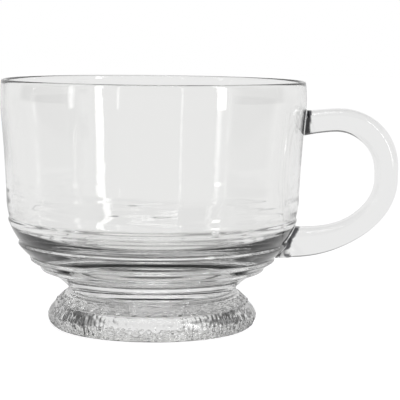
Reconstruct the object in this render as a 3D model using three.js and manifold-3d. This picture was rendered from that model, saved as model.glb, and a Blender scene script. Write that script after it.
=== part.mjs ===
// A footed glass mug in millimetres, +Z up, standing on z = 0. Three gathers of glass make it:
// a bowl with pressed rings on its lower curve, a flared foot with a scalloped lace band, and a
// C-shaped handle whose two roots lie against the bowl.
import * as THREE from "three";
import { mergeVertices } from "three/addons/utils/BufferGeometryUtils.js";
import Module from "manifold-3d";

const wasm = await Module();
wasm.setup();

// Overall sizes
const mugHeight = 89;
const rimDiameter = 110;
const handleReach = 88.3; // from the mug's axis to the far side of the handle

// Foot
const footHeight = 13.1; // from the table to the seam under the bowl
const footDiameter = 75.3; // the widest part of the skirt
const skirtHeight = 4.7; // from the table to that widest part
const skirtRise = 0.33; // the skirt runs upright over this share of its height
const skirtFlare = [0.28, 0.72]; // then bends here, as shares from the top edge out and up
const topLedge = 1; // the level top stands out this far round the neck
const topEdge = 0.5; // the rounded edge of that top
const restingRingInset = 3.45; // from the widest part in to the ring that touches the table
const restingRingWidth = 2.4;
const hemRound = [0.55, 0.5]; // how far out and up the corner of the hem is held
const hollowDepth = 5.6; // of the hollow under the foot
const hollowSlope = 5.8; // its side runs in this far from the ring to the level top
const hollowRound = [0.6, 0.5]; // how far out and up the corner of that side is held

// Lace band pressed into the skirt, measured along its slope from the top edge
const scallopCount = 40;
const laceStart = 0.8; // the tops of the scallops
const laceLength = 3.9;
const scallopArc = 1.6; // how far the ends of each scallop lie below its top
const laceRelief = 0.45;
const laceEdge = 0.35; // the length over which the lace rises out of the skirt

// Bowl
const rimThickness = 1.8;
const lipDrop = 8; // the outside is widest this far below the rim
const lipInset = 0.35; // and this much narrower in radius at the rim
const wallThickness = 2.3; // at the shoulder
const wallTaper = 2.3; // the outside is this much narrower in radius at the shoulder
const wallBow = 0.28; // halfway up, this share of that taper is already gained
const neckDiameter = 59.2;
const neckBand = 0.5; // a short upright band over the seam
const shoulderAboveFoot = 33.9; // where the wall ends and the lower curve starts
const curveDepth = 32.7; // from the shoulder down to where the lower curve would run level
const curveInset = 9.6; // that level point lies this far inside the neck
const firstGroove = THREE.MathUtils.degToRad(10.6); // an angle round the lower curve
const firstRing = THREE.MathUtils.degToRad(16.7); // the stretch of the curve that it takes up
const ringShrink = 0.83; // each ring is this much narrower than the one above
const ringCount = 4;
const ringRelief = 0.9; // from the bottom of a groove to the top of a ring
const ringLean = 0.5; // 1 puts the top in the middle of the ring, and less puts it higher
const floorAboveFoot = 12.9; // the inside floor over the seam
const floorDiameter = 44;
const innerShoulder = 4; // the inside starts to curve this far below the shoulder

// Handle
const handleThickness = 8.3; // seen from the side
const handleWidth = 10.4; // seen from the end
const cornerThickness = 1; // the upper corner is this much thicker
const lowerRootThickness = 10.9;
const lowerSwell = 0.75; // the lower bend thickens over this share of the way to its root
const swellEnd = 2; // and is at its thickest this far from the bowl
const upperRootBelowRim = 14.8; // the middle of the upper root
const lowerRootAboveFoot = 17.9; // the middle of the lower root
const upperRise = 1; // the top of the loop over the upper root
const upperStraight = 2; // the handle leaves the bowl level over this length
const upperEase = 4; // and levels out again this far before its bend
const upperBendRadius = 17.6; // to the middle of the glass
const sideLength = 3.5; // the upright stretch between the two bends
const lowerBendReach = 32; // how far the lower bend runs from the far side towards the bowl
const rootSpread = 1.1; // each root swells this much where the hot glass was pressed on
const rootSpreadLength = 2.2;
const rootClearance = 0.3; // between each root and the bowl
const rootDepth = 9; // the sweep starts this far inside the bowl, and is trimmed
const sectionPower = 2.7; // 2 is an ellipse, and more is squarer

// Fineness of the facets
const bowlSegments = 64;
const wallSteps = 3;
const ringSteps = 4;
const rimSteps = 6;
const floorBendSteps = 9;
const footSegments = scallopCount * 5;
const hollowSteps = 4;
const hemSteps = 3;
const handleSteps = 38;
const handleSides = 18;

const rimRadius = rimDiameter / 2;
const neckRadius = neckDiameter / 2;
const footRadius = footDiameter / 2;
const footTopRadius = neckRadius + topLedge;
const shoulderRadius = rimRadius - wallTaper;
const shoulderHeight = footHeight + shoulderAboveFoot;
const upperRootHeight = mugHeight - upperRootBelowRim;
const lowerRootHeight = footHeight + lowerRootAboveFoot;
const handleFarSide = handleReach - handleThickness / 2;

// Spins a profile of (radius, height) points round the mug's axis.
function revolve(profile, segments) {
  const geometry = new THREE.LatheGeometry(profile, segments);
  geometry.rotateX(Math.PI / 2);
  return geometry;
}

// Points along a curve between two places on it, without the first.
function along(curve, steps) {
  return curve.getPoints(steps).slice(1);
}

// A place between two points, at one share of the way across and another of the way up.
function between(from, to, across, up) {
  return new THREE.Vector2(
    THREE.MathUtils.lerp(from.x, to.x, across),
    THREE.MathUtils.lerp(from.y, to.y, up),
  );
}

// A closed geometry as a solid that can be cut.
function solidOf(geometry) {
  const bare = new THREE.BufferGeometry();
  bare.setAttribute("position", geometry.getAttribute("position"));
  bare.setIndex(geometry.index);
  const merged = mergeVertices(bare, 1e-4);
  return new wasm.Manifold(new wasm.Mesh({
    numProp: 3,
    vertProperties: merged.attributes.position.array,
    triVerts: new Uint32Array(merged.index.array),
  }));
}

// A cut solid as a geometry that can be drawn.
function geometryOf(solid) {
  const mesh = solid.getMesh();
  const geometry = new THREE.BufferGeometry();
  geometry.setAttribute("position", new THREE.BufferAttribute(mesh.vertProperties, 3));
  geometry.setIndex(new THREE.BufferAttribute(mesh.triVerts, 1));
  geometry.computeVertexNormals();
  return geometry;
}

// A plain point of the lower curve, moved out by some relief, at an angle below the shoulder.
function lowerCurvePoint(angle, relief) {
  const centreRadius = neckRadius - curveInset;
  const across = shoulderRadius - centreRadius;
  const point = new THREE.Vector2(Math.cos(angle) * across, -Math.sin(angle) * curveDepth);
  const outward = new THREE.Vector2(point.x / across ** 2, point.y / curveDepth ** 2).normalize();
  point.addScaledVector(outward, relief);
  return point.add(new THREE.Vector2(centreRadius, shoulderHeight));
}

// The pressed rings from the lowest groove up to the first one. The grooves lie inside the plain
// curve and each ring stands out of it, most of all just under its upper groove.
function ringPoints() {
  const points = [];
  let groove = firstGroove;
  for (let ring = 0; ring < ringCount; ring++) {
    const stretch = firstRing * ringShrink ** ring;
    for (let step = 0; step < ringSteps; step++) {
      const share = step / ringSteps;
      const proud = ringRelief * (Math.sin(Math.PI * share ** ringLean) - 0.5);
      points.push(lowerCurvePoint(groove + share * stretch, proud));
    }
    groove += stretch;
  }
  points.push(lowerCurvePoint(groove, -ringRelief / 2));
  return points.reverse();
}

// The bowl's outside from the seam up to where the rim starts to round over.
function bowlOutside() {
  const shoulder = lowerCurvePoint(0, 0);
  const widest = new THREE.Vector2(rimRadius, mugHeight - lipDrop);
  const bow = between(shoulder, widest, wallBow, 0.5);
  return [
    new THREE.Vector2(neckRadius, footHeight),
    new THREE.Vector2(neckRadius, footHeight + neckBand),
    ...ringPoints(),
    lowerCurvePoint(firstGroove / 2, 0),
    shoulder,
    ...along(new THREE.QuadraticBezierCurve(shoulder, bow, widest), wallSteps),
    new THREE.Vector2(rimRadius - lipInset, mugHeight - rimThickness / 2),
  ];
}

// The bowl's inside, from the rim down to the middle of the floor.
function bowlInside() {
  const widest = new THREE.Vector2(rimRadius - rimThickness, mugHeight - lipDrop);
  const start = new THREE.Vector2(shoulderRadius - wallThickness, shoulderHeight - innerShoulder);
  const bow = between(start, widest, wallBow, 0.5);
  const floor = new THREE.Vector2(floorDiameter / 2, footHeight + floorAboveFoot);
  const bend = new THREE.EllipseCurve(
    floor.x, start.y, start.x - floor.x, start.y - floor.y, 0, -Math.PI / 2, true,
  );
  return [
    widest,
    ...along(new THREE.QuadraticBezierCurve(widest, bow, start), wallSteps),
    ...along(bend, floorBendSteps),
    new THREE.Vector2(0, floor.y),
  ];
}

function makeBowl() {
  const half = rimThickness / 2;
  const rimMiddle = rimRadius - lipInset - half;
  const rim = new THREE.EllipseCurve(rimMiddle, mugHeight - half, half, half, 0, Math.PI);
  const profile = [
    new THREE.Vector2(0, footHeight),
    ...bowlOutside(),
    ...along(rim, rimSteps),
    ...bowlInside(),
  ];
  return revolve(profile, bowlSegments);
}

// The skirt's slope from its widest part up to the foot's top edge.
function skirtCurve() {
  const widest = new THREE.Vector2(footRadius, skirtHeight);
  const end = new THREE.Vector2(footTopRadius + topEdge, footHeight - topEdge);
  return new THREE.CubicBezierCurve(
    widest,
    between(widest, end, 0, skirtRise),
    between(widest, end, 1 - skirtFlare[0], skirtFlare[1]),
    end,
  );
}

// The skirt's outline at one angle round the foot, from its widest part up to the top. The lace's
// upper edge rises and falls with the scallops, and the rows of points follow it.
function skirtOutline(skirt, angle) {
  const length = skirt.getLength();
  const across = THREE.MathUtils.euclideanModulo((angle * scallopCount) / (2 * Math.PI), 1) * 2 - 1;
  const top = length - laceStart - scallopArc * (1 - Math.sqrt(1 - across ** 2));
  const bottom = length - laceStart - laceLength;
  const rows = [
    [bottom / 3, 0],
    [(bottom * 2) / 3, 0],
    [bottom, 0],
    [bottom + laceEdge, laceRelief],
    [top - laceEdge, laceRelief],
    [top, 0],
    [length - laceStart / 2, 0],
    [length, 0],
  ];
  return rows.map(([way, relief]) => {
    const point = skirt.getPointAt(way / length);
    const slope = skirt.getTangentAt(way / length);
    return point.add(new THREE.Vector2(slope.y, -slope.x).multiplyScalar(relief));
  });
}

// The foot's outline from the middle of its hollow out to the widest part of the skirt.
function undersideOutline() {
  const ringOuter = new THREE.Vector2(footRadius - restingRingInset, 0);
  const ringInner = new THREE.Vector2(ringOuter.x - restingRingWidth, 0);
  const hollow = new THREE.Vector2(ringInner.x - hollowSlope, hollowDepth);
  const widest = new THREE.Vector2(footRadius, skirtHeight);
  const sideOfHollow = new THREE.CubicBezierCurve(
    hollow,
    between(hollow, ringInner, hollowRound[0], 0),
    between(hollow, ringInner, 1, hollowRound[1]),
    ringInner,
  );
  const hem = new THREE.CubicBezierCurve(
    ringOuter,
    between(ringOuter, widest, hemRound[0], 0),
    between(ringOuter, widest, 1, hemRound[1]),
    widest,
  );
  return [
    new THREE.Vector2(0, hollowDepth),
    hollow,
    ...along(sideOfHollow, hollowSteps),
    ringOuter,
    ...along(hem, hemSteps),
  ];
}

function makeFoot() {
  const underside = undersideOutline();
  const skirt = skirtCurve();
  const top = [new THREE.Vector2(footTopRadius, footHeight), new THREE.Vector2(0, footHeight)];
  const profile = [...underside, ...skirtOutline(skirt, 0), ...top];
  const geometry = revolve(profile, footSegments);
  const places = geometry.getAttribute("position");
  for (let column = 0; column <= footSegments; column++) {
    const angle = (2 * Math.PI * (column % footSegments)) / footSegments;
    skirtOutline(skirt, angle).forEach((point, row) => {
      const index = column * profile.length + underside.length + row;
      places.setXYZ(index, point.x * Math.sin(angle), -point.x * Math.cos(angle), point.y);
    });
  }
  return geometry;
}

// The radius of the bowl's outside at a height, read off its profile.
function bowlRadiusAt(height) {
  const points = bowlOutside();
  const above = points.findIndex((point) => point.y > height);
  const [low, high] = [points[above - 1], points[above]];
  return THREE.MathUtils.mapLinear(height, low.y, high.y, low.x, high.x);
}

// The middle line of the handle, drawn in the plane through the mug's axis as (x, z).
function handleLine() {
  const top = upperRootHeight + upperRise;
  const upperBendHeight = top - upperBendRadius;
  const upperBendMiddle = handleFarSide - upperBendRadius;
  const lowerBendHeight = upperBendHeight - sideLength;
  const upperWall = bowlRadiusAt(upperRootHeight);
  const line = new THREE.Path();
  line.moveTo(upperWall - rootDepth, upperRootHeight);
  line.bezierCurveTo(
    upperWall + upperStraight, upperRootHeight,
    upperBendMiddle - upperEase, top,
    upperBendMiddle, top,
  );
  line.absarc(upperBendMiddle, upperBendHeight, upperBendRadius, Math.PI / 2, 0, true);
  line.lineTo(handleFarSide, lowerBendHeight);
  line.absellipse(
    handleFarSide - lowerBendReach, lowerBendHeight,
    lowerBendReach, lowerBendHeight - lowerRootHeight,
    0, -Math.PI / 2, true,
  );
  line.lineTo(bowlRadiusAt(lowerRootHeight) - rootDepth, lowerRootHeight);
  return line;
}

// How thick the handle is at a point of its middle line.
function handleThicknessAt(point) {
  const insideCorner = upperBendRadius * (1 - Math.SQRT1_2);
  const cornerMiddle = new THREE.Vector2(
    handleFarSide - insideCorner,
    upperRootHeight + upperRise - insideCorner,
  );
  const nearCorner = 1 - Math.min(point.distanceTo(cornerMiddle) / upperBendRadius, 1);
  const low = point.y < (upperRootHeight + lowerRootHeight) / 2;
  const wall = bowlRadiusAt(low ? lowerRootHeight : upperRootHeight);
  const fromWall = point.x - wall;
  const swellStart = (handleFarSide - wall) * lowerSwell;
  const swell = low ? THREE.MathUtils.smoothstep(-fromWall, -swellStart, -swellEnd) : 0;
  return handleThickness
    + cornerThickness * THREE.MathUtils.smoothstep(nearCorner, 0, 1)
    + (lowerRootThickness - handleThickness) * swell
    + rootSpread * Math.exp(-Math.max(fromWall, 0) / rootSpreadLength);
}

// Rounded cross-sections threaded along the middle line, closed at both ends.
function sweepHandle() {
  const line = handleLine();
  const places = [];
  for (let step = 0; step <= handleSteps; step++) {
    const share = step / handleSteps;
    const middle = line.getPointAt(share);
    const way = line.getTangentAt(share);
    const half = handleThicknessAt(middle) / 2;
    const halfWidth = handleWidth / 2 + half - handleThickness / 2;
    for (let side = 0; side < handleSides; side++) {
      const turn = (2 * Math.PI * side) / handleSides;
      const out = rounded(Math.cos(turn)) * half;
      const aside = rounded(Math.sin(turn)) * halfWidth;
      places.push(middle.x - way.y * out, aside, middle.y + way.x * out);
    }
  }
  const geometry = new THREE.BufferGeometry();
  geometry.setAttribute("position", new THREE.Float32BufferAttribute(places, 3));
  geometry.setIndex(sweepFaces());
  return geometry;
}

// The faces between the cross-sections, then the two flat ends.
function sweepFaces() {
  const faces = [];
  for (let step = 0; step < handleSteps; step++) {
    for (let side = 0; side < handleSides; side++) {
      const next = (side + 1) % handleSides;
      const [a, b] = [step * handleSides + side, step * handleSides + next];
      faces.push(a, a + handleSides, b, b, a + handleSides, b + handleSides);
    }
  }
  const last = handleSteps * handleSides;
  for (let side = 1; side < handleSides - 1; side++) {
    faces.push(0, side, side + 1, last, last + side + 1, last + side);
  }
  return faces;
}

// A sine or cosine pushed outwards, which turns a circle into a rounded square.
function rounded(value) {
  return Math.sign(value) * Math.abs(value) ** (2 / sectionPower);
}

// An outline moved out square to itself by a gap.
function grownOutline(points, gap) {
  return points.map((point, i) => {
    const before = points[Math.max(i - 1, 0)];
    const after = points[Math.min(i + 1, points.length - 1)];
    const way = after.clone().sub(before).normalize();
    return new THREE.Vector2(point.x + way.y * gap, point.y - way.x * gap);
  });
}

// The space that the bowl and the clearance round it take from the handle's roots.
function bowlEnvelope() {
  const grown = grownOutline(bowlOutside(), rootClearance);
  const profile = [
    new THREE.Vector2(0, grown[0].y),
    ...grown,
    new THREE.Vector2(0, grown.at(-1).y),
  ];
  return revolve(profile, bowlSegments);
}

function makeHandle() {
  const trimmed = solidOf(sweepHandle()).subtract(solidOf(bowlEnvelope()));
  return geometryOf(trimmed);
}

function glass(name, geometry, color) {
  const material = new THREE.MeshStandardMaterial({
    color,
    roughness: 0.04,
    metalness: 0,
    transparent: true,
    opacity: 0.35,
  });
  const mesh = new THREE.Mesh(geometry, material);
  mesh.name = name;
  return mesh;
}

const mug = new THREE.Group();
mug.add(
  glass("bowl", makeBowl(), 0xe9e8e6),
  glass("foot", makeFoot(), 0xdfdfdd),
  glass("handle", makeHandle(), 0xe8e8e7),
);
// The origin lies on the table, under the middle of the whole length, handle included.
mug.position.x = -(handleReach - rimRadius) / 2;

export default mug;
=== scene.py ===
# %% [markdown]
# # A footed glass mug
#
# The mug in the photograph is clear pressed glass in three gathers: a bowl with four stepped
# rings round its lower curve, a flared foot with a scalloped lace band, and a C-shaped handle
# whose two ends are pressed on to the bowl. This file builds the glass that is seen. The solid
# model under it, which was drawn in millimetres, gives the frame and the overall size.

# %% Load the solid model
import math

import bmesh
import bpy
from mathutils import Euler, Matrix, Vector


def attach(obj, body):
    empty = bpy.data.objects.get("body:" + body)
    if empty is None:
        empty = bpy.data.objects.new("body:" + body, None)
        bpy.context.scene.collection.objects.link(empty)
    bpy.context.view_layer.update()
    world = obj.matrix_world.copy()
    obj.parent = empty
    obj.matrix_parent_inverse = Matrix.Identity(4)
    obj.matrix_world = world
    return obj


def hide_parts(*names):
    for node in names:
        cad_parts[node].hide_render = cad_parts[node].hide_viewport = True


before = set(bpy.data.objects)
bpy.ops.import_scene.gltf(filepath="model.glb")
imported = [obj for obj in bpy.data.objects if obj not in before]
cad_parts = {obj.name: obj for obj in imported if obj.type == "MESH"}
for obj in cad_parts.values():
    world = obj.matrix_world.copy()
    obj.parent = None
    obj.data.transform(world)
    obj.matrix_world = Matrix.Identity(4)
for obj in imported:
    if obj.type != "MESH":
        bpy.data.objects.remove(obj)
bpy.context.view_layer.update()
MM = 0.001
BODY = "root"

# %% [markdown]
# ## Camera
#
# The rim shows as a narrow ellipse, so the camera stands a little above the mug. The width of
# that ellipse against its height, and the same for the foot, put the lens about 0.58 m in front
# of the mug's axis and 108 mm over the table. The camera looks down at it by about six degrees.

# %% Camera
MUG_AXIS_X = -16.65  # the mug's axis in the frame, whose origin is under the middle of mug and handle
LENS_PLACE = (0.36, -579.9, 107.9)
LENS_LENGTH = 145.06
SENSOR_WIDTH = 36.0
LOOK_DOWN = 6.12  # degrees
ROLL = 0.6  # degrees

camera_data = bpy.data.cameras.new("photo lens")
camera_data.sensor_width = SENSOR_WIDTH
camera_data.lens = LENS_LENGTH
camera = bpy.data.objects.new("photo camera", camera_data)
camera.location = [place * MM for place in LENS_PLACE]
camera.rotation_euler = Euler((math.radians(90.0 - LOOK_DOWN), 0.0, 0.0), "XYZ")
camera.rotation_euler.rotate_axis("Z", math.radians(ROLL))
bpy.context.scene.collection.objects.link(camera)
bpy.context.scene.camera = camera
bpy.context.scene.view_settings.view_transform = "Standard"
print("camera at", [round(place, 4) for place in camera.location], "lens", camera_data.lens)

# %% [markdown]
# ## Node helpers
#
# Materials and geometry trees are both built from nodes. These short helpers make a node with
# its settings and join sockets, so each tree below reads as a list of steps.

# %% Node helpers
def add_node(tree, kind, inputs=None, **settings):
    """A new node with its settings, and plain values or links on its inputs."""
    node = tree.nodes.new(kind)
    for name, value in settings.items():
        setattr(node, name, value)
    for name, value in (inputs or {}).items():
        socket = node.inputs[name]
        if isinstance(value, bpy.types.NodeSocket):
            tree.links.new(value, socket)
        else:
            socket.default_value = value
    return node


def calculate(tree, operation, *values):
    """The result of a Math node on numbers or sockets."""
    inputs = {i: value for i, value in enumerate(values)}
    return add_node(tree, "ShaderNodeMath", inputs, operation=operation).outputs[0]


def plus(tree, a, b):
    return calculate(tree, "ADD", a, b)


def minus(tree, a, b):
    return calculate(tree, "SUBTRACT", a, b)


def times(tree, a, b):
    return calculate(tree, "MULTIPLY", a, b)


def change(tree, value, start, end, low, high, kind="SMOOTHSTEP"):
    """A change from one level to another as a value runs from start to end, smooth or linear."""
    return add_node(tree, "ShaderNodeMapRange", {
        "Value": value, "From Min": start, "From Max": end, "To Min": low, "To Max": high,
    }, interpolation_type=kind).outputs[0]


def from_mug_axis(tree, place, operation):
    """The outputs of a Vector Math node on a place and the foot of the mug's axis."""
    return add_node(tree, "ShaderNodeVectorMath", {
        0: place, 1: (MUG_AXIS_X * MM, 0.0, 0.0),
    }, operation=operation).outputs


print("node helpers for", bpy.app.version_string)

# %% [markdown]
# ## Studio
#
# The photograph has a plain white ground and soft light from all round. Clear glass has no
# colour of its own: it shows what stands round it, bent. Its plain wall reads as a light grey
# against the white, so the camera sees white, and the glass sees a room at 0.85 of that. The side
# walls and the ceiling are darker, and the table carries a painted contact shadow, a dark ring
# where the foot stands on it that only the glass sees: they draw the edges of the pressed pattern.
# Three narrow lamps in front of the mug give the upright streaks, and four slats of light overhead
# give the short strokes low on the inside. A picture of a real room could stand in for all this,
# but plain levels can be changed one at a time.

# %% World
ROOM_LIGHT = 0.85  # what the glass sees of the studio, where 1 is white
SIDE_WALL = 0.3  # the walls far to the left and right, as a share of the room's light
SIDE_START = 0.88  # the sideways part of a direction at which they begin
SIDE_END = 0.95
CEILING = 0.1  # the room over the lamps
CEILING_START = 0.5  # and the upward part at which it begins
CEILING_END = 0.6

world = bpy.data.worlds.new("soft studio")
bpy.context.scene.world = world
world.use_nodes = True
world_tree = world.node_tree
world_tree.nodes.clear()

direction = add_node(world_tree, "ShaderNodeTexCoord").outputs["Generated"]
to_right, _, up = add_node(world_tree, "ShaderNodeSeparateXYZ", {"Vector": direction}).outputs
aside = calculate(world_tree, "ABSOLUTE", to_right)
side_wall = change(world_tree, aside, SIDE_START, SIDE_END, 1.0, SIDE_WALL)
ceiling = change(world_tree, up, CEILING_START, CEILING_END, 1.0, CEILING)
room_light = times(world_tree, times(world_tree, side_wall, ceiling), ROOM_LIGHT)
camera_sees_world = add_node(world_tree, "ShaderNodeLightPath").outputs["Is Camera Ray"]
strength = add_node(world_tree, "ShaderNodeMix", {0: camera_sees_world, 2: room_light, 3: 1.0}).outputs[0]
background = add_node(world_tree, "ShaderNodeBackground", {
    "Color": (1.0, 1.0, 1.0, 1.0), "Strength": strength,
})
add_node(world_tree, "ShaderNodeOutputWorld", {"Surface": background.outputs[0]})
print(world.name, "with", len(world_tree.nodes), "nodes")

# %% Table
TABLE_HALF = 3.0  # metres

table_mesh = bpy.data.meshes.new("table")
table_mesh.from_pydata(
    [(-TABLE_HALF, -TABLE_HALF, 0), (TABLE_HALF, -TABLE_HALF, 0),
     (TABLE_HALF, TABLE_HALF, 0), (-TABLE_HALF, TABLE_HALF, 0)],
    [], [(0, 1, 2, 3)],
)
table = bpy.data.objects.new("table", table_mesh)
bpy.context.scene.collection.objects.link(table)
print("table", 2 * TABLE_HALF, "m square")

# %% Table's paper
CONTACT_SHADOW_LEVEL = 0.1  # a painted contact shadow: the glass sees the table dark where the foot's ring stands on it
CONTACT_RADIUS = 0.034  # metres
CONTACT_REACH = 0.011  # metres to each side of that radius
CONTACT_FADE = (0.6, 1.4)  # the painted shadow fades between these shares of its reach
TABLE_PAPER = 0.5
TABLE_GLOW = 0.88  # brings the paper up to white for the camera, and leaves it the mug's shadow

table_material = bpy.data.materials.new("pale table")
table_material.use_nodes = True
table_tree = table_material.node_tree
table_tree.nodes.clear()
paper = add_node(table_tree, "ShaderNodeBsdfDiffuse", {
    "Color": (TABLE_PAPER, TABLE_PAPER, TABLE_PAPER, 1.0),
})
glow = add_node(table_tree, "ShaderNodeEmission", {"Color": (1, 1, 1, 1), "Strength": TABLE_GLOW})
lit = add_node(table_tree, "ShaderNodeAddShader", {0: paper.outputs[0], 1: glow.outputs[0]})
table_place = add_node(table_tree, "ShaderNodeTexCoord").outputs["Object"]
table_radius = from_mug_axis(table_tree, table_place, "DISTANCE")["Value"]
# the painted contact shadow: a dark ring on the table round the foot, which only the glass sees
from_ring = calculate(table_tree, "ABSOLUTE", minus(table_tree, table_radius, CONTACT_RADIUS))
painted_contact_shadow = change(table_tree, from_ring, CONTACT_REACH * CONTACT_FADE[0], CONTACT_REACH * CONTACT_FADE[1],
                 CONTACT_SHADOW_LEVEL, 1.0)
table_grey = add_node(table_tree, "ShaderNodeEmission", {
    "Color": (1, 1, 1, 1), "Strength": times(table_tree, painted_contact_shadow, ROOM_LIGHT),
})
camera_sees_table = add_node(table_tree, "ShaderNodeLightPath").outputs["Is Camera Ray"]
table_mix = add_node(table_tree, "ShaderNodeMixShader", {
    0: camera_sees_table, 1: table_grey.outputs[0], 2: lit.outputs[0],
})
add_node(table_tree, "ShaderNodeOutputMaterial", {"Surface": table_mix.outputs[0]})
table_mesh.materials.append(table_material)
print(table_material.name, "with", len(table_tree.nodes), "nodes")

# %% Lamps
LAMP_AIM = (MUG_AXIS_X, 0, 45)  # every lamp looks at the middle of the mug
STRIP_FAR = 450.0  # from the mug's axis
STRIP_HEIGHT = 420.0  # the strips stand on the table
STRIPS = [  # a name, degrees to the camera's right, a width and a level
    ("right strip", 50.0, 56.0, 7.0),
    ("left strip", -58.0, 34.0, 2.6),
    ("narrow strip", -23.0, 14.0, 2.0),
]
SLAT_COUNT = 4
SLAT_FIRST = -150.0  # the first slat hangs this far in front of the axis
SLAT_SPACING = 75.0
SLAT_HEIGHT = 600.0
SLAT_SIZE = (230.0, 26.0)
SLAT_LEVEL = 6.0


def add_lamp(name, place, size, level):
    """A soft rectangle of light that looks at the mug; the level is its brightness, where 1 is white."""
    data = bpy.data.lights.new(name, "AREA")
    data.shape = "RECTANGLE"
    data.size, data.size_y = size[0] * MM, size[1] * MM
    data.energy = level * math.pi * data.size * data.size_y
    made = bpy.data.objects.new(name, data)
    made.location = Vector(place) * MM
    made.rotation_euler = (Vector(LAMP_AIM) - Vector(place)).to_track_quat("-Z", "Y").to_euler()
    made.visible_camera = False
    bpy.context.scene.collection.objects.link(made)
    print(name, [round(c) for c in place], "energy", round(data.energy, 3))


for strip_name, degrees, width, level in STRIPS:
    side = math.radians(degrees)
    place = (MUG_AXIS_X + STRIP_FAR * math.sin(side), -STRIP_FAR * math.cos(side), STRIP_HEIGHT / 2)
    add_lamp(strip_name, place, (width, STRIP_HEIGHT), level)
for slat in range(SLAT_COUNT):
    add_lamp("overhead slat %d" % slat, (MUG_AXIS_X, SLAT_FIRST + SLAT_SPACING * slat, SLAT_HEIGHT),
             SLAT_SIZE, SLAT_LEVEL)

# %% [markdown]
# ## Glass
#
# Glass that was pressed in an iron mould is never quite flat: its skin keeps slow waves from the
# mould and from the fire polish. They could be modelled, but they are so shallow that bump shows
# them as well. One group makes those waves for every piece, and each material gives them its own
# size. The shader under them stays plain: full transmission, the refractive index of soda glass,
# and hardly any roughness.

# %% Group: pressed skin
GRAIN_RUBBED = (0.45, 0.75)  # the part of the grain that reads as rubbed
RUBBED_ROUGHNESS = 0.03


def make_skin_group():
    """A shader group that turns Object coordinates into the skin's height and roughness."""
    group = bpy.data.node_groups.new("pressed skin", "ShaderNodeTree")
    face = group.interface
    for name, value in (("Wave Size", 60.0), ("Wave Share", 0.8), ("Grain Size", 900.0)):
        face.new_socket(name, in_out="INPUT", socket_type="NodeSocketFloat").default_value = value
    face.new_socket("Height", in_out="OUTPUT", socket_type="NodeSocketFloat")
    face.new_socket("Roughness", in_out="OUTPUT", socket_type="NodeSocketFloat")
    entry = add_node(group, "NodeGroupInput").outputs
    skin_place = add_node(group, "ShaderNodeTexCoord").outputs["Object"]
    wave = add_node(group, "ShaderNodeTexNoise", {
        "Vector": skin_place, "Scale": entry["Wave Size"], "Detail": 1.0, "Roughness": 0.4,
    })
    grain = add_node(group, "ShaderNodeTexNoise", {
        "Vector": skin_place, "Scale": entry["Grain Size"], "Detail": 2.0,
    })
    height = add_node(group, "ShaderNodeMix", {
        0: entry["Wave Share"], 2: grain.outputs[0], 3: wave.outputs[0],
    })
    rubbed = change(group, grain.outputs[0], *GRAIN_RUBBED, 0.0, RUBBED_ROUGHNESS, kind="LINEAR")
    add_node(group, "NodeGroupOutput", {"Height": height.outputs[0], "Roughness": rubbed})
    return group


skin_group = make_skin_group()
print(skin_group.name, "with", len(skin_group.nodes), "nodes")

# %% Glass
GLASS_IOR = 1.5


def make_glass(name, color, wave_size, wave_height, wave_share=0.95):
    """A clear glass with the pressed skin; the waves are wave_height millimetres deep."""
    material = bpy.data.materials.new(name)
    material.use_nodes = True
    tree = material.node_tree
    shader = tree.nodes["Principled BSDF"]
    shader.inputs["Base Color"].default_value = (*color, 1.0)
    shader.inputs["IOR"].default_value = GLASS_IOR
    shader.inputs["Transmission Weight"].default_value = 1.0
    skin = add_node(tree, "ShaderNodeGroup", node_tree=skin_group)
    skin.inputs["Wave Size"].default_value = wave_size
    skin.inputs["Wave Share"].default_value = wave_share
    bump = add_node(tree, "ShaderNodeBump", {
        "Height": skin.outputs["Height"], "Distance": wave_height * MM, "Strength": 1.0,
    })
    tree.links.new(skin.outputs["Roughness"], shader.inputs["Roughness"])
    tree.links.new(bump.outputs["Normal"], shader.inputs["Normal"])
    print("material", name)
    return material


bowl_glass = make_glass("bowl glass", (0.975, 0.975, 0.97), wave_size=45.0, wave_height=0.12)
foot_glass = make_glass("foot glass", (0.93, 0.93, 0.925), wave_size=60.0, wave_height=0.15,
                        wave_share=0.9)
handle_glass = make_glass("handle glass", (0.965, 0.965, 0.962), wave_size=50.0, wave_height=0.12)

# %% Ripples low in the bowl
RIPPLE_SCALE = (40.0, 40.0, 260.0)  # far finer upwards than round, so the ripples lie level
RIPPLE_HEIGHTS = (0.034, 0.060)  # metres over the table
RIPPLE_FADES = (0.006, 0.01)  # metres over which they rise and die out again
RIPPLE_EDGE = (0.0511, 0.0516)  # metres from the axis; the glass further out stays smooth
RIPPLE_RELIEF = 0.45


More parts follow.
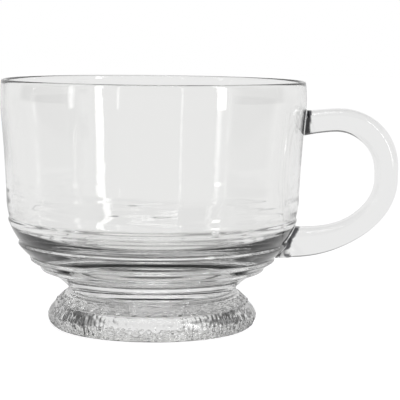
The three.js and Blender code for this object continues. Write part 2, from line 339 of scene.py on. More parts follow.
def add_ripples(material):
    """Level ripples low on the inside, left by the plunger that pressed it."""
    tree = material.node_tree
    shader = tree.nodes["Principled BSDF"]
    smooth = shader.inputs["Normal"].links[0].from_socket
    glass_place = add_node(tree, "ShaderNodeTexCoord").outputs["Object"]
    squeezed = add_node(tree, "ShaderNodeVectorMath", {
        0: glass_place, 1: RIPPLE_SCALE,
    }, operation="MULTIPLY").outputs[0]
    ripple = add_node(tree, "ShaderNodeTexNoise", {
        "Vector": squeezed, "Scale": 1.0, "Detail": 1.0,
    }).outputs[0]
    from_axis = from_mug_axis(tree, glass_place, "SUBTRACT")[0]
    flat = add_node(tree, "ShaderNodeVectorMath", {
        0: from_axis, 1: (1.0, 1.0, 0.0),
    }, operation="MULTIPLY").outputs[0]
    radius = add_node(tree, "ShaderNodeVectorMath", {0: flat}, operation="LENGTH").outputs["Value"]
    height = add_node(tree, "ShaderNodeSeparateXYZ", {"Vector": glass_place}).outputs[2]
    low, high = RIPPLE_HEIGHTS
    rise, fall = RIPPLE_FADES
    zone = times(tree, change(tree, height, low, low + rise, 0.0, 1.0),
                 change(tree, height, high - fall, high, 1.0, 0.0))
    zone = times(tree, zone, change(tree, radius, *RIPPLE_EDGE, 1.0, 0.0))
    bump = add_node(tree, "ShaderNodeBump", {
        "Height": times(tree, ripple, zone), "Distance": RIPPLE_RELIEF * MM, "Normal": smooth,
    })
    tree.links.new(bump.outputs["Normal"], shader.inputs["Normal"])
    print("ripples on", material.name)


add_ripples(bowl_glass)

# %% Painted shade at the handle's seams
# painted shade: a near black mixed into the glass's colour at the handle's seams, where the joined gathers
# would trap the light
SEAM_SHADE_COLOR = (0.012, 0.012, 0.014, 1.0)


def paint_seam_shade(material):
    """Paints shade into the glass's colour where a mesh's seam attribute is 1: a near black that stands in
    for the light two joined gathers trap.
    """
    tree = material.node_tree
    shader = tree.nodes["Principled BSDF"]
    seam = add_node(tree, "ShaderNodeAttribute", attribute_name="seam")
    color = add_node(tree, "ShaderNodeMix", {
        0: seam.outputs["Fac"], 6: tuple(shader.inputs["Base Color"].default_value), 7: SEAM_SHADE_COLOR,
    }, data_type="RGBA")
    tree.links.new(color.outputs[2], shader.inputs["Base Color"])
    print("seams on", material.name)


paint_seam_shade(handle_glass)

# %% [markdown]
# ## Outlines
#
# A bowl and a foot are turned shapes: one outline, spun round the axis. Each outline is a list of
# (radius, height) points in millimetres, laid out anticlockwise so that the faces point outwards.
# The curves in it are Bezier curves and parts of ellipses, so a few sizes shape the whole mug.

# %% Curves for outlines
def lerp(a, b, share):
    return a + (b - a) * share


def bezier(points, steps):
    """Points along a Bezier curve of any degree, by sliding along its control lines again and again."""
    found = []
    for step in range(steps + 1):
        share = step / steps
        level = [Vector(point) for point in points]
        while len(level) > 1:
            level = [a.lerp(b, share) for a, b in zip(level, level[1:])]
        found.append((level[0].x, level[0].y))
    return found


def ellipse(middle, half_sizes, start, end, steps):
    """Points along an ellipse between two angles in degrees."""
    found = []
    for step in range(steps + 1):
        angle = math.radians(lerp(start, end, step / steps))
        found.append((middle[0] + half_sizes[0] * math.cos(angle),
                      middle[1] + half_sizes[1] * math.sin(angle)))
    return found


def even_steps(points, spacing):
    """The same line with its points at an even spacing."""
    line = [Vector(point) for point in points]
    lengths = [0.0]
    for a, b in zip(line, line[1:]):
        lengths.append(lengths[-1] + (b - a).length)
    count = max(2, round(lengths[-1] / spacing))
    found = []
    piece = 0
    for step in range(count + 1):
        goal = lengths[-1] * step / count
        while piece < len(line) - 2 and lengths[piece + 1] < goal:
            piece += 1
        share = (goal - lengths[piece]) / (lengths[piece + 1] - lengths[piece])
        point = line[piece].lerp(line[piece + 1], share)
        found.append((point.x, point.y))
    return found


def polished(points, spacing, passes):
    """The same line at an even spacing, with its corners softened as a flame softens glass."""
    line = even_steps(points, spacing)
    for _ in range(passes):
        middle = [((a[0] + 2 * b[0] + c[0]) / 4, (a[1] + 2 * b[1] + c[1]) / 4)
                  for a, b, c in zip(line, line[1:], line[2:])]
        line = [line[0]] + middle + [line[-1]]
    return line


print("a quarter of a circle in two steps", ellipse((0, 0), (1, 1), 0, 90, 2))

# %% Sizes of the mug, in millimetres
MUG_HEIGHT = 89.0
RIM_RADIUS = 55.0
RIM_THICKNESS = 1.8
LIP_DROP = 8.0  # the wall is widest this far below the rim
LIP_INSET = 0.35  # and this much narrower in radius at the rim
SHOULDER_RADIUS = 52.7  # where the wall ends and the round lower curve starts
SHOULDER_HEIGHT = 47.0
WALL_THICKNESS = 3.0  # this and the next three shape the inside for the look, where the solid
FLOOR_HEIGHT = 26.5  # model's inside is a little different
FLOOR_RADIUS = 20.0
INNER_SHOULDER = 40.0
WALL_BOW = 0.28  # the share of the wall's flare at its middle control point
FOOT_HEIGHT = 13.1
FOOT_RADIUS = 37.65
FOOT_TOP_RADIUS = 30.6
SKIRT_HEIGHT = 4.7
NECK_RADIUS = 29.6
NECK_BAND = 0.5  # a short upright band over the seam
CURVE_MIDDLE = (20.0, SHOULDER_HEIGHT)
CURVE_RADIUS = 32.7
print("mug", MUG_HEIGHT, "mm high and", 2 * RIM_RADIUS, "mm wide at the rim")

# %% [markdown]
# ## The spin tree
#
# Turning an outline is a rule, so Geometry Nodes do it. A Screw modifier would turn it as well; a
# tree can also keep numbers for the pattern on the foot. It takes the outline's points, lays out a
# grid with one row for each point and one column for each turn, and puts each grid point at its
# outline point's radius and height and its column's angle. Merging by distance then closes the seam
# and the poles. The angle is kept as an attribute, and so is each point's way down the foot's slope.

# %% Geometry tree: spin an outline
MERGE_DISTANCE = 1e-6  # metres


def end_tree(tree, geometry, glass):
    """Ends a tree as the export needs it: real geometry with its material."""
    real = add_node(tree, "GeometryNodeRealizeInstances", {"Geometry": geometry})
    paint = add_node(tree, "GeometryNodeSetMaterial", {"Geometry": real.outputs[0], "Material": glass})
    add_node(tree, "NodeGroupOutput", {"Geometry": paint.outputs[0]})


def make_spin_tree():
    """A tree that turns an outline round the mug's axis into a closed skin of glass."""
    tree = bpy.data.node_groups.new("spin an outline", "GeometryNodeTree")
    face = tree.interface
    face.new_socket("Geometry", in_out="INPUT", socket_type="NodeSocketGeometry")
    face.new_socket("Columns", in_out="INPUT", socket_type="NodeSocketInt").default_value = 64
    face.new_socket("Axis X", in_out="INPUT", socket_type="NodeSocketFloat")
    face.new_socket("Glass", in_out="INPUT", socket_type="NodeSocketMaterial")
    face.new_socket("Geometry", in_out="OUTPUT", socket_type="NodeSocketGeometry")
    entry = add_node(tree, "NodeGroupInput").outputs
    outline = entry["Geometry"]
    size = add_node(tree, "GeometryNodeAttributeDomainSize", {"Geometry": outline})
    rows = size.outputs["Point Count"]
    columns = plus(tree, entry["Columns"], 1)
    grid = add_node(tree, "GeometryNodeMeshGrid", {"Vertices X": columns, "Vertices Y": rows})
    index = add_node(tree, "GeometryNodeInputIndex").outputs[0]
    row = calculate(tree, "FLOORED_MODULO", index, rows)
    column = calculate(tree, "FLOOR", calculate(tree, "DIVIDE", index, rows))
    turn = times(tree, calculate(tree, "DIVIDE", column, entry["Columns"]), math.tau)
    place = add_node(tree, "GeometryNodeInputPosition").outputs[0]
    place_sample = add_node(tree, "GeometryNodeSampleIndex", {
        "Geometry": outline, "Value": place, "Index": row,
    }, data_type="FLOAT_VECTOR", domain="POINT", clamp=True)
    radius, _, height = add_node(tree, "ShaderNodeSeparateXYZ", {0: place_sample.outputs[0]}).outputs
    across = times(tree, radius, calculate(tree, "COSINE", turn))
    deep = times(tree, radius, calculate(tree, "SINE", turn))
    spun = add_node(tree, "ShaderNodeCombineXYZ", {
        0: plus(tree, across, entry["Axis X"]), 1: deep, 2: height,
    })
    way = add_node(tree, "GeometryNodeInputNamedAttribute", {"Name": "way"}, data_type="FLOAT")
    way_sample = add_node(tree, "GeometryNodeSampleIndex", {
        "Geometry": outline, "Value": way.outputs[0], "Index": row,
    }, data_type="FLOAT", domain="POINT", clamp=True)
    keep_turn = add_node(tree, "GeometryNodeStoreNamedAttribute", {
        "Geometry": grid.outputs["Mesh"], "Name": "turn", "Value": turn,
    }, data_type="FLOAT", domain="POINT")
    keep_way = add_node(tree, "GeometryNodeStoreNamedAttribute", {
        "Geometry": keep_turn.outputs[0], "Name": "way", "Value": way_sample.outputs[0],
    }, data_type="FLOAT", domain="POINT")
    move = add_node(tree, "GeometryNodeSetPosition", {
        "Geometry": keep_way.outputs[0], "Position": spun.outputs[0],
    })
    close = add_node(tree, "GeometryNodeMergeByDistance", {
        "Geometry": move.outputs[0], "Distance": MERGE_DISTANCE,
    })
    smooth = add_node(tree, "GeometryNodeSetShadeSmooth", {"Geometry": close.outputs[0]})
    end_tree(tree, smooth.outputs[0], entry["Glass"])
    return tree


spin_tree = make_spin_tree()
print(spin_tree.name, "with", len(spin_tree.nodes), "nodes")

# %% Run a tree on an outline
def outline_object(name, outline):
    """An object that holds an outline's points in the XZ plane."""
    mesh = bpy.data.meshes.new(name)
    mesh.from_pydata(
        [(radius * MM, 0.0, height * MM) for radius, height in outline],
        [(i, i + 1) for i in range(len(outline) - 1)], [],
    )
    made = bpy.data.objects.new(name, mesh)
    bpy.context.scene.collection.objects.link(made)
    print(name, "outline with", len(outline), "points")
    return made


def grow(source, tree, values):
    """Puts the plain mesh that a geometry tree makes from an object in place of the object's own."""
    modifier = source.modifiers.new(tree.name, "NODES")
    modifier.node_group = tree
    sockets = {item.name: item.identifier for item in tree.interface.items_tree
               if item.in_out == "INPUT"}
    for name, value in values.items():
        modifier[sockets[name]] = value
    source.update_tag()
    depsgraph = bpy.context.evaluated_depsgraph_get()
    baked = bpy.data.meshes.new_from_object(source.evaluated_get(depsgraph))
    source.modifiers.remove(modifier)
    old = source.data
    source.data = baked
    bpy.data.meshes.remove(old)
    baked.name = source.name
    print(source.name, len(baked.vertices), "points,", len(baked.polygons), "faces")


# %% [markdown]
# ## The bowl
#
# The bowl is blown or pressed in a mould with stepped rings, so each ring stands out at its top
# edge and falls back to the next. The rings could be left to a bump map, but glass bends light by
# its real shape. A straight facet between two edges works as one clean lens, which gives the long
# leaf shapes; a bulging one breaks them up. The corners are softened, as the fire polish does, and
# the thick floor traps light, which is what looks dark.

# %% The rings
RING_START = 12.5  # degrees below the shoulder
RING_WIDTH = 16.7  # degrees
RING_SHRINK = 0.75  # each ring is this much narrower than the one over it
RING_COUNT = 4
RING_STEP = 1.1  # a ring's top edge stands out this much further than its lower edge
RING_LEDGE = 0.08  # the share of a ring's width that its ledge takes
RING_POINTS = 12
TOP_DIP = 0.2  # the curve over the first ring falls back this much
TOP_POINTS = 5


def on_the_curve(angle, proud):
    """A point of the bowl's round lower side, some degrees below the shoulder and a little proud."""
    turn = math.radians(angle)
    reach = CURVE_RADIUS + proud
    return (CURVE_MIDDLE[0] + math.cos(turn) * reach, CURVE_MIDDLE[1] - math.sin(turn) * reach)


def ring_points():
    """The stepped rings, from the shoulder down."""
    points = [on_the_curve(RING_START * k / TOP_POINTS, -TOP_DIP * (k / TOP_POINTS) ** 2)
              for k in range(1, TOP_POINTS + 1)]
    angle = RING_START
    for ring in range(RING_COUNT):
        width = RING_WIDTH * RING_SHRINK ** ring
        for step in range(RING_POINTS + 1):
            share = lerp(RING_LEDGE, 1.0, step / RING_POINTS)
            points.append(on_the_curve(angle + share * width, RING_STEP * (0.5 - share)))
        angle += width
    return points


print("rings with", len(ring_points()), "points")

# %% The bowl's outside
COVE_LOW = (1.6, 1.8)  # how the cove under the rings leaves the neck
COVE_HIGH = (3.6, 1.9)  # and how it reaches the lowest ring
COVE_POINTS = 12
POLISH_SPACING = 0.3
POLISH_PASSES = 3
WALL_POINTS = 20
LIP_POINTS = 6


def wall_bow(low, high):
    """The control point that bows a wall between its shoulder and its widest place."""
    return (lerp(low[0], high[0], WALL_BOW), (low[1] + high[1]) / 2)


def bowl_outside():
    """The outside from the seam up to the rim."""
    rings = ring_points()[::-1]
    shoulder = (SHOULDER_RADIUS, SHOULDER_HEIGHT)
    widest = (RIM_RADIUS, MUG_HEIGHT - LIP_DROP)
    rim_edge = (RIM_RADIUS - LIP_INSET, MUG_HEIGHT - RIM_THICKNESS / 2)
    neck = (NECK_RADIUS, FOOT_HEIGHT)
    band = (NECK_RADIUS, FOOT_HEIGHT + NECK_BAND)
    cove = bezier([band, (band[0] + COVE_LOW[0], band[1] + COVE_LOW[1]),
                   (rings[0][0] - COVE_HIGH[0], rings[0][1] - COVE_HIGH[1]), rings[0]], COVE_POINTS)
    curve = polished(cove[:-1] + rings + [shoulder], POLISH_SPACING, POLISH_PASSES)
    wall = bezier([shoulder, wall_bow(shoulder, widest), widest], WALL_POINTS)
    lip = bezier([widest, (RIM_RADIUS, MUG_HEIGHT - LIP_DROP / 2), rim_edge], LIP_POINTS)
    return [neck] + curve + wall[1:] + lip[1:]


bowl_side = bowl_outside()
print("bowl's outside with", len(bowl_side), "points")

# %% The bowl
BEND_POINTS = 40
FLOOR_POINTS = 8
BASE_POINTS = 6
RIM_POINTS = 12
BOWL_COLUMNS = 256


def bowl_inside():
    """The inside from the rim down to the middle of the floor."""
    widest = (RIM_RADIUS - RIM_THICKNESS, MUG_HEIGHT - LIP_DROP)
    start = (SHOULDER_RADIUS - WALL_THICKNESS, INNER_SHOULDER)
    rim_edge = (RIM_RADIUS - LIP_INSET - RIM_THICKNESS, MUG_HEIGHT - RIM_THICKNESS / 2)
    lip = bezier([rim_edge, (widest[0], MUG_HEIGHT - LIP_DROP / 2), widest], LIP_POINTS)
    wall = bezier([widest, wall_bow(start, widest), start], WALL_POINTS)
    bend = ellipse((FLOOR_RADIUS, start[1]), (start[0] - FLOOR_RADIUS, start[1] - FLOOR_HEIGHT),
                   0, -90, BEND_POINTS)
    floor_line = [(FLOOR_RADIUS * (1 - k / FLOOR_POINTS), FLOOR_HEIGHT)
                  for k in range(1, FLOOR_POINTS + 1)]
    return lip[1:] + wall[1:] + bend[1:] + floor_line


def bowl_outline():
    """The whole outline: base, outside, rounded rim and inside."""
    half = RIM_THICKNESS / 2
    rim = ellipse((RIM_RADIUS - LIP_INSET - half, MUG_HEIGHT - half), (half, half), 0, 180, RIM_POINTS)
    base = [(NECK_RADIUS * k / BASE_POINTS, FOOT_HEIGHT) for k in range(BASE_POINTS)]
    return base + bowl_side + rim[1:] + bowl_inside()


bowl = outline_object("bowl_visual", bowl_outline())
grow(bowl, spin_tree, {"Columns": BOWL_COLUMNS, "Axis X": MUG_AXIS_X * MM, "Glass": bowl_glass})
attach(bowl, BODY)
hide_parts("bowl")

# %% [markdown]
# ## The foot
#
# The foot is a pressed skirt with a hollow under it. Its level ceiling works as a mirror, so a
# smooth bright band shows through the front, over a stippled hem. The lace band near the neck has
# 40 scallops, each with a cord along its edge, a loop and a bead in it, and a row of dashes below.
# The wall of the hollow is fluted, which shows as fine ribs at both sides. The pattern could be
# bump alone, but then it would be gone from the exported mesh, so the points themselves are moved.

# %% The foot's underside
RESTING_RING = (31.8, 34.2)  # the inner and outer radius of the flat ring that it stands on
HOLLOW_DEPTH = 6.5  # this and the radius are chosen for the look too
HOLLOW_RADIUS = 29.5
HOLLOW_EASE = 0.6  # the level control point of the hollow's wall lies this share of the way out
HEM_EASE = 0.55  # and so does the hem's, at this share
HEM_RISE = 0.5  # the hem's upright control point lies at this share of its height
UNDERSIDE_SPACING = 0.28
CURVE_POINTS = 30
DISC_POINTS = 6


def underside_points():
    """The hollow's ceiling and wall, the resting ring and the hem, from the axis outwards."""
    ring_in, ring_out = RESTING_RING
    ceiling = [(HOLLOW_RADIUS * k / DISC_POINTS, HOLLOW_DEPTH) for k in range(DISC_POINTS)]
    wall = bezier([(HOLLOW_RADIUS, HOLLOW_DEPTH), (lerp(HOLLOW_RADIUS, ring_in, HOLLOW_EASE), HOLLOW_DEPTH),
                   (ring_in, HOLLOW_DEPTH / 2), (ring_in, 0.0)], CURVE_POINTS)
    hem = bezier([(ring_out, 0.0), (lerp(ring_out, FOOT_RADIUS, HEM_EASE), 0.0),
                  (FOOT_RADIUS, SKIRT_HEIGHT * HEM_RISE), (FOOT_RADIUS, SKIRT_HEIGHT)], CURVE_POINTS)
    return ceiling + even_steps(wall, UNDERSIDE_SPACING) + even_steps(hem, UNDERSIDE_SPACING)[:-1]


print("underside with", len(underside_points()), "points")

# %% The foot's top
TOP_EDGE = 0.5  # the rounded edge of the foot's top
SEAM_PRESS = 0.04  # the top is pressed this far into the bowl, which leaves no film of air
PRESS_EDGES = (0.25, -0.2)  # it rises to that between these distances outside the neck
EDGE_POINTS = 4


def top_points():
    """The top's rounded edge and its disc under the bowl, from the skirt inwards."""
    edge = ellipse((FOOT_TOP_RADIUS, FOOT_HEIGHT - TOP_EDGE), (TOP_EDGE, TOP_EDGE), 0, 90, EDGE_POINTS)
    pressed = FOOT_HEIGHT + SEAM_PRESS
    seam = [(NECK_RADIUS + PRESS_EDGES[0], FOOT_HEIGHT), (NECK_RADIUS + PRESS_EDGES[1], pressed)]
    disc = [(NECK_RADIUS * (1 - k / DISC_POINTS), pressed) for k in range(1, DISC_POINTS + 1)]
    return edge[1:] + seam + disc


print("top with", len(top_points()), "points")

# %% Foot outline
SKIRT_RISE = 0.33  # the skirt's lower control point stands at this share of its height
SKIRT_EASE = (0.28, 0.72)  # and its upper one lies this far out from the top and this high
SKIRT_POINTS = 60
SKIRT_SPACING = 0.16
UNDERSIDE_WAY = 20.0  # what the underside carries in place of a length down the skirt
TOP_WAY = -1.0  # and what the top carries


def foot_outline():
    """The outline, and for each point its length in millimetres from the skirt's top edge."""
    end = (FOOT_TOP_RADIUS + TOP_EDGE, FOOT_HEIGHT - TOP_EDGE)
    skirt = bezier([(FOOT_RADIUS, SKIRT_HEIGHT),
                    (FOOT_RADIUS, lerp(SKIRT_HEIGHT, end[1], SKIRT_RISE)),
                    (lerp(end[0], FOOT_RADIUS, SKIRT_EASE[0]), lerp(SKIRT_HEIGHT, end[1], SKIRT_EASE[1])),
                    end], SKIRT_POINTS)
    slope = even_steps(skirt, SKIRT_SPACING)
    length = sum(math.dist(a, b) for a, b in zip(slope, slope[1:]))
    step = length / (len(slope) - 1)
    underside, top = underside_points(), top_points()
    ways = [UNDERSIDE_WAY] * len(underside)
    ways += [length - i * step for i in range(len(slope))] + [TOP_WAY] * len(top)
    print("the skirt is", round(length, 2), "mm long down its slope")
    return underside + slope + top, ways


foot_line, foot_ways = foot_outline()
foot = outline_object("foot_visual", foot_line)
foot.data.attributes.new("way", "FLOAT", "POINT").data.foreach_set("value", foot_ways)

# %% [markdown]
# ## The foot's pattern
#
# The mould of the foot carries the same scallop forty times over. A mesh could be cut for one
# scallop and copied, but the pattern also has to follow the slope of the skirt. So a second tree
# reads two numbers at each point, its angle and its way down the slope, works out a height from
# them, and moves the point along its normal. A ridge is a rounded line where a distance is nought.

# %% Ridges
def ridge(tree, distance, width, height):
    """A rounded ridge where a distance is nought: height * exp(-(distance / width) ** 2)."""
    scaled = calculate(tree, "DIVIDE", distance, width)
    fall = times(tree, times(tree, scaled, scaled), -1.0)
    return times(tree, calculate(tree, "EXPONENT", fall), height)


print("a ridge is down to", round(math.exp(-1), 2), "of its height one width from its middle")

# %% Lace
SCALLOPS = 40
LACE_START = 0.8  # the tops of the scallops, in millimetres down the slope
LACE_LENGTH = 3.9
SCALLOP_ARC = 1.5  # how far the ends of each scallop lie below its top
LACE_EDGE = 0.3  # the length over which the lace rises out of the skirt
LACE_LOW_EDGE = 0.6  # the band ends this far above the row of dashes
BAND_SHARE = 0.3  # the band's own height, as a share of the relief
LINE_SHARE = 0.7  # and how much its cords, loops and beads add
CORD_INSET, CORD_WIDTH, CORD_HEIGHT = 0.35, 0.22, 0.7
LOOP_SQUEEZE = 2.1  # a loop is narrower than half its scallop by this
LOOP_DROP = 2.1  # its middle lies this far below the scallop's top
LOOP_TALL = 0.85
LOOP_WIDTH, LOOP_HEIGHT = 0.28, 0.6
BEAD_WIDTH, BEAD_HEIGHT = 0.45, 0.8
DASH_DROP, DASH_WIDTH, DASH_HEIGHT = 0.1, 0.25, 0.9
DASH_GAP, DASH_SOFT = 0.45, 0.25


def lace_height(tree, count, way):
    """The lace's height from the number of scallops so far and the way down the slope."""
    across = minus(tree, times(tree, calculate(tree, "FRACT", count), 2.0), 1.0)
    inner = minus(tree, 1.0, times(tree, across, across))
    dome = calculate(tree, "SQRT", calculate(tree, "MAXIMUM", inner, 0.0))
    arc = times(tree, minus(tree, 1.0, dome), SCALLOP_ARC)
    down = minus(tree, way, LACE_START)
    inside = minus(tree, down, arc)
    band_end = LACE_LENGTH - LACE_LOW_EDGE
    band = times(tree, change(tree, inside, 0.0, LACE_EDGE, 0.0, 1.0),
                 change(tree, down, band_end - LACE_EDGE, band_end, 1.0, 0.0))
    cord = ridge(tree, minus(tree, inside, CORD_INSET), CORD_WIDTH, CORD_HEIGHT)
    loop_across = times(tree, across, LOOP_SQUEEZE)
    loop_down = calculate(tree, "DIVIDE", minus(tree, down, LOOP_DROP), LOOP_TALL)
    loop_far = calculate(tree, "SQRT", plus(tree, times(tree, loop_across, loop_across),
                                            times(tree, loop_down, loop_down)))
    loop = ridge(tree, minus(tree, loop_far, 1.0), LOOP_WIDTH, LOOP_HEIGHT)
    bead = ridge(tree, loop_far, BEAD_WIDTH, BEAD_HEIGHT)
    lines = calculate(tree, "MAXIMUM", calculate(tree, "MAXIMUM", cord, loop), bead)
    dash_turn = calculate(tree, "ABSOLUTE", calculate(tree, "SINE", times(tree, count, math.pi)))
    dash_row = ridge(tree, minus(tree, down, LACE_LENGTH + DASH_DROP), DASH_WIDTH, DASH_HEIGHT)
    dash = times(tree, dash_row, change(tree, dash_turn, DASH_GAP, DASH_GAP + DASH_SOFT, 0.0, 1.0))
    lace = times(tree, band, plus(tree, times(tree, lines, LINE_SHARE), BAND_SHARE))
    return plus(tree, lace, dash)


print(SCALLOPS, "scallops,", round(math.tau * FOOT_TOP_RADIUS / SCALLOPS, 2), "mm wide at the top")

# %% Stipple and flutes
STIPPLE_LIFT = (0.0002, 0.0012)  # metres over the table, so that the resting ring stays flat
CEILING_FADE = (0.85, 0.97)  # shares of the hollow's depth, so that its ceiling stays smooth
SKIRT_END_WAY = (13.0, 14.0)  # past the skirt's length, and short of what the underside carries


def stipple_height(tree, entry, turn, way, place):
    """The stipple of the hem and the flutes of the hollow's wall."""
    spots = add_node(tree, "ShaderNodeTexVoronoi", {
        "Vector": place, "Scale": calculate(tree, "DIVIDE", 1000.0, entry["Stipple Size"]),
    }, voronoi_dimensions="3D", feature="F1").outputs["Distance"]
    flute = times(tree, calculate(tree, "SINE", times(tree, turn, entry["Flutes"])), entry["Flute Relief"])
    dimple = plus(tree, times(tree, minus(tree, spots, 0.5), entry["Stipple Relief"]), flute)
    height = add_node(tree, "ShaderNodeSeparateXYZ", {0: place}).outputs[2]
    on_hem = change(tree, minus(tree, way, entry["Hem Way"]), 0.0, 1.0, 0.0, 1.0)
    off_table = change(tree, height, *STIPPLE_LIFT, 0.0, 1.0, kind="LINEAR")
    ceiling_start, ceiling_end = [HOLLOW_DEPTH * MM * share for share in CEILING_FADE]
    off_ceiling = change(tree, height, ceiling_start, ceiling_end, 1.0, 0.0, kind="LINEAR")
    beneath = change(tree, way, *SKIRT_END_WAY, 0.0, 1.0, kind="LINEAR")
    kept = calculate(tree, "MAXIMUM", minus(tree, 1.0, beneath), off_ceiling)
    return times(tree, dimple, times(tree, times(tree, on_hem, off_table), kept))


print("the stipple starts", STIPPLE_LIFT[0] / MM, "mm over the table")

# %% Geometry tree: press the foot
PRESS_INPUTS = {  # lengths in millimetres
    "Scallops": float(SCALLOPS), "Lace Relief": 0.5, "Stipple Relief": 0.45, "Stipple Size": 1.5,
    "Hem Way": 9.6, "Flutes": 120.0, "Flute Relief": 0.06,
}


def make_press_tree():
    """A tree that presses the lace, the stipple and the flutes into the spun foot."""
    tree = bpy.data.node_groups.new("press the foot", "GeometryNodeTree")
    face = tree.interface
    face.new_socket("Geometry", in_out="INPUT", socket_type="NodeSocketGeometry")
    for name, value in PRESS_INPUTS.items():
        face.new_socket(name, in_out="INPUT", socket_type="NodeSocketFloat").default_value = value
    face.new_socket("Glass", in_out="INPUT", socket_type="NodeSocketMaterial")
    face.new_socket("Geometry", in_out="OUTPUT", socket_type="NodeSocketGeometry")
    entry = add_node(tree, "NodeGroupInput").outputs
    turn, way = [add_node(tree, "GeometryNodeInputNamedAttribute", {"Name": name},
                          data_type="FLOAT").outputs[0] for name in ("turn", "way")]
    place = add_node(tree, "GeometryNodeInputPosition").outputs[0]
    count = times(tree, calculate(tree, "DIVIDE", turn, math.tau), entry["Scallops"])
    lace = times(tree, lace_height(tree, count, way), entry["Lace Relief"])
    dimple = stipple_height(tree, entry, turn, way, place)
    normal = add_node(tree, "GeometryNodeInputNormal").outputs[0]
    offset = add_node(tree, "ShaderNodeVectorMath", {
        0: normal, "Scale": times(tree, plus(tree, lace, dimple), MM),
    }, operation="SCALE")
    move = add_node(tree, "GeometryNodeSetPosition", {
        "Geometry": entry["Geometry"], "Offset": offset.outputs[0],
    })
    end_tree(tree, move.outputs[0], entry["Glass"])
    return tree


press_tree = make_press_tree()
print(press_tree.name, "with", len(press_tree.nodes), "nodes")

# %% The foot
COLUMNS_PER_SCALLOP = 18

grow(foot, spin_tree, {"Columns": SCALLOPS * COLUMNS_PER_SCALLOP, "Axis X": MUG_AXIS_X * MM,
                       "Glass": foot_glass})
grow(foot, press_tree, {"Glass": foot_glass})
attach(foot, BODY)
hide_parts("foot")

# %% [markdown]
# ## The handle
#
# The handle is one section swept along a line: out from the wall, round a tight upper corner, down
# the side and round a wide lower one. The section is a rounded oblong that swells a little at the
# corner and on the lower arm. A curve with a bevel object would sweep it too, but its ends would be
# cut flat. Made point by point, both ends follow the bowl's wall, with shade painted dark into the
# glass's colour at the seam where the hot glass was pressed on.

# %% The handle's middle line
HANDLE_THICKNESS = 8.3
HANDLE_REACH = 88.3  # from the mug's axis to the far side of the handle
UPPER_ROOT = 74.2  # the middle of each root over the table
LOWER_ROOT = 31.0
UPPER_RISE = 1.0  # the top of the loop over the upper root
UPPER_STRAIGHT = 2.0  # the handle leaves the bowl level over this length
UPPER_EASE = 4.0  # and levels out again this far before its bend
UPPER_BEND = 17.6
LOWER_BEND = 32.0
SIDE_LENGTH = 3.5
FAR_SIDE = HANDLE_REACH - HANDLE_THICKNESS / 2
HANDLE_SPACING = 0.6
ARM_POINTS, UPPER_POINTS, LOWER_POINTS = 24, 40, 60


def bowl_radius_at(height):
    """The radius of the bowl's outside at a height."""
    for (r0, z0), (r1, z1) in zip(bowl_side, bowl_side[1:]):
        if z0 <= height <= z1 and z1 > z0:
            return lerp(r0, r1, (height - z0) / (z1 - z0))
    return bowl_side[-1][0]


def handle_line():
    """The middle line of the handle, from the upper root round to the lower one, as (x, z)."""
    top = UPPER_ROOT + UPPER_RISE
    bend = top - UPPER_BEND
    low_bend = bend - SIDE_LENGTH
    start = (bowl_radius_at(UPPER_ROOT), UPPER_ROOT)
    end = (bowl_radius_at(LOWER_ROOT), LOWER_ROOT)
    arm = bezier([start, (start[0] + UPPER_STRAIGHT, start[1]),
                  (FAR_SIDE - UPPER_BEND - UPPER_EASE, top), (FAR_SIDE - UPPER_BEND, top)], ARM_POINTS)
    upper = ellipse((FAR_SIDE - UPPER_BEND, bend), (UPPER_BEND, UPPER_BEND), 90, 0, UPPER_POINTS)
    lower = ellipse((FAR_SIDE - LOWER_BEND, low_bend), (LOWER_BEND, low_bend - LOWER_ROOT),
                    0, -90, LOWER_POINTS)
    return even_steps(arm[:-1] + upper + lower + [end], HANDLE_SPACING)


print("handle's line with", len(handle_line()), "points")

# %% The handle's section
HANDLE_WIDTH = 10.4
CORNER_EXTRA = 1.0  # the upper corner is this much thicker
CORNER_SHARE = 0.293  # 1 less the cosine of 45 degrees
LOWER_EXTRA = 2.6  # the lower arm is this much thicker
SWELL_SHARE = 0.75  # it thickens over this share of the way to its root
SWELL_END = 2.0  # and is at its thickest this far from the bowl
ROOT_SPREAD = 1.1  # each root swells this much where the hot glass was pressed on
SPREAD_LENGTH = 2.2
SECTION_POWER = 2.7  # 2 is an ellipse, and more is squarer


def smooth_step(value, low, high):
    """0 up to a low value and 1 from a high one on, with a smooth rise between them."""
    share = min(max((value - low) / (high - low), 0.0), 1.0)
    return share * share * (3 - 2 * share)


def handle_half_sizes(x, z):
    """Half the thickness and half the width of the handle at a point of its middle line."""
    corner = (FAR_SIDE - UPPER_BEND * CORNER_SHARE, UPPER_ROOT + UPPER_RISE - UPPER_BEND * CORNER_SHARE)
    near_corner = 1 - min(math.dist((x, z), corner) / UPPER_BEND, 1)
    low = z < (UPPER_ROOT + LOWER_ROOT) / 2
    wall = bowl_radius_at(LOWER_ROOT if low else UPPER_ROOT)
    from_wall = max(x - wall, 0.0)
    swell = smooth_step(-from_wall, -(FAR_SIDE - wall) * SWELL_SHARE, -SWELL_END) if low else 0.0
    spread = ROOT_SPREAD * math.exp(-from_wall / SPREAD_LENGTH)
    corner_extra = CORNER_EXTRA * smooth_step(near_corner, 0, 1)
    thickness = HANDLE_THICKNESS + corner_extra + LOWER_EXTRA * swell + spread
    return thickness / 2, HANDLE_WIDTH / 2 + thickness / 2 - HANDLE_THICKNESS / 2


def rounded(value):
    """A sine or cosine, bent so that an ellipse becomes a rounded oblong."""
    return math.copysign(abs(value) ** (2 / SECTION_POWER), value)


print("half sizes at the upper root", handle_half_sizes(bowl_radius_at(UPPER_ROOT), UPPER_ROOT))

# %% The handle's roots
ROOT_GAP = 0.3
RING_GAP = 0.02  # the rings next to a root stay this much further out than its edge
# the band of painted shade at each root: how far from the bowl it reaches, and how softly it ends
SEAM_SHADE_WIDTH = 1.7
SEAM_SHADE_FADE = 0.15
SEAM_SEARCH = 3.0  # nothing further outside the rim's radius than this is near a seam
END_RINGS = (0.75, 0.5, 0.25)  # the rings that fill a root, as shares of its edge


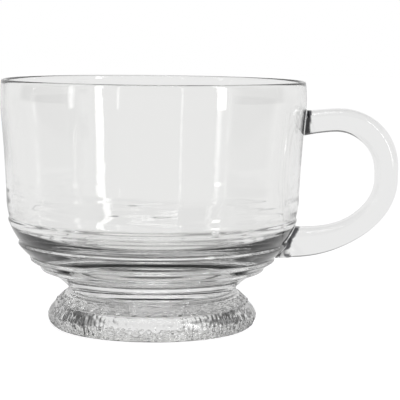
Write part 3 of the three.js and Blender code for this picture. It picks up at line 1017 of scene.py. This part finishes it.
def on_the_bowl(y, z):
    """The x of the bowl's outside at some depth and height, with the gap of the root added."""
    reach = bowl_radius_at(z) + ROOT_GAP
    return math.sqrt(max(reach * reach - y * y, 0.0))


def in_frame(x, y, z):
    """A place measured in millimetres from the mug's axis, in the frame's metres."""
    return ((x + MUG_AXIS_X) * MM, y * MM, z * MM)


def painted_seam_shade(x, y, z):
    """1 where shade is painted on a root next to its seam with the bowl, and 0 on the rest of the handle.
    """
    if x > RIM_RADIUS + SEAM_SEARCH or abs(y) > RIM_RADIUS:
        return 0.0
    return 1.0 - smooth_step(x - on_the_bowl(y, z), SEAM_SHADE_WIDTH, SEAM_SHADE_WIDTH + SEAM_SHADE_FADE)


def close_root(mesh, ring, edge):
    """Fills a root with smaller and smaller rings that lie along the bowl's wall."""
    sides = len(ring)
    middle_z = sum(point[2] for point in ring) / sides
    outer = edge
    for share in END_RINGS:
        inner = []
        for _, y, z in ring:
            y_in, z_in = y * share, lerp(middle_z, z, share)
            inner.append(mesh.verts.new(in_frame(on_the_bowl(y_in, z_in), y_in, z_in)))
        for side in range(sides):
            after = (side + 1) % sides
            mesh.faces.new((outer[side], outer[after], inner[after], inner[side]))
        outer = inner
    tip = mesh.verts.new(in_frame(on_the_bowl(0, middle_z), 0, middle_z))
    for side in range(sides):
        mesh.faces.new((outer[side], outer[(side + 1) % sides], tip))


print("upper root at", round(on_the_bowl(0, UPPER_ROOT), 2), "and lower root at",
      round(on_the_bowl(0, LOWER_ROOT), 2), "mm from the axis")

# %% The handle
HANDLE_SIDES = 64


def swept_rings(line):
    """The section at each point of the middle line, kept out of the bowl."""
    rings = []
    for i, (x, z) in enumerate(line):
        before, after = line[max(i - 1, 0)], line[min(i + 1, len(line) - 1)]
        way = (Vector(after) - Vector(before)).normalized()
        if i in (0, len(line) - 1):
            way = Vector((1.0 if i == 0 else -1.0, 0.0))
        half, half_width = handle_half_sizes(x, z)
        ring = []
        for side in range(HANDLE_SIDES):
            turn = math.tau * side / HANDLE_SIDES
            out = rounded(math.cos(turn)) * half
            ring.append([x - way.y * out, rounded(math.sin(turn)) * half_width, z + way.x * out])
        rings.append(ring)
    for ring in (rings[0], rings[-1]):
        for point in ring:
            point[0] = on_the_bowl(point[1], point[2])
    for ring in rings[1:-1]:
        for point in ring:
            if abs(point[1]) < on_the_bowl(0, point[2]):
                point[0] = max(point[0], on_the_bowl(point[1], point[2]) + RING_GAP)
    return rings


def make_handle(name):
    """The swept handle as one closed mesh, with the painted shade at its seams kept as an attribute."""
    rings = swept_rings(handle_line())
    mesh = bmesh.new()
    verts = [[mesh.verts.new(in_frame(*point)) for point in ring] for ring in rings]
    for a, b in zip(verts, verts[1:]):
        for side in range(HANDLE_SIDES):
            after = (side + 1) % HANDLE_SIDES
            mesh.faces.new((a[side], b[side], b[after], a[after]))
    close_root(mesh, rings[0], verts[0])
    close_root(mesh, rings[-1], verts[-1])
    bmesh.ops.recalc_face_normals(mesh, faces=mesh.faces)
    for one in mesh.faces:
        one.smooth = True
    for edge in (verts[0], verts[-1]):
        for side in range(HANDLE_SIDES):
            mesh.edges.get((edge[side], edge[(side + 1) % HANDLE_SIDES])).smooth = False
    data = bpy.data.meshes.new(name)
    mesh.to_mesh(data)
    mesh.free()
    on_side = len(rings) * HANDLE_SIDES  # the points after these fill the two ends, which stay clear
    # the painted shade at the seams, which the handle's material reads as its seam attribute
    painted_seam_shades = [painted_seam_shade(point.co.x / MM - MUG_AXIS_X, point.co.y / MM, point.co.z / MM)
             if point.index < on_side else 0.0 for point in data.vertices]
    data.attributes.new("seam", "FLOAT", "POINT").data.foreach_set("value", painted_seam_shades)
    made = bpy.data.objects.new(name, data)
    bpy.context.scene.collection.objects.link(made)
    print(name, len(data.vertices), "points,", len(data.polygons), "faces")
    return made


handle = make_handle("handle_visual")
handle.data.materials.append(handle_glass)
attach(handle, BODY)
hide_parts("handle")
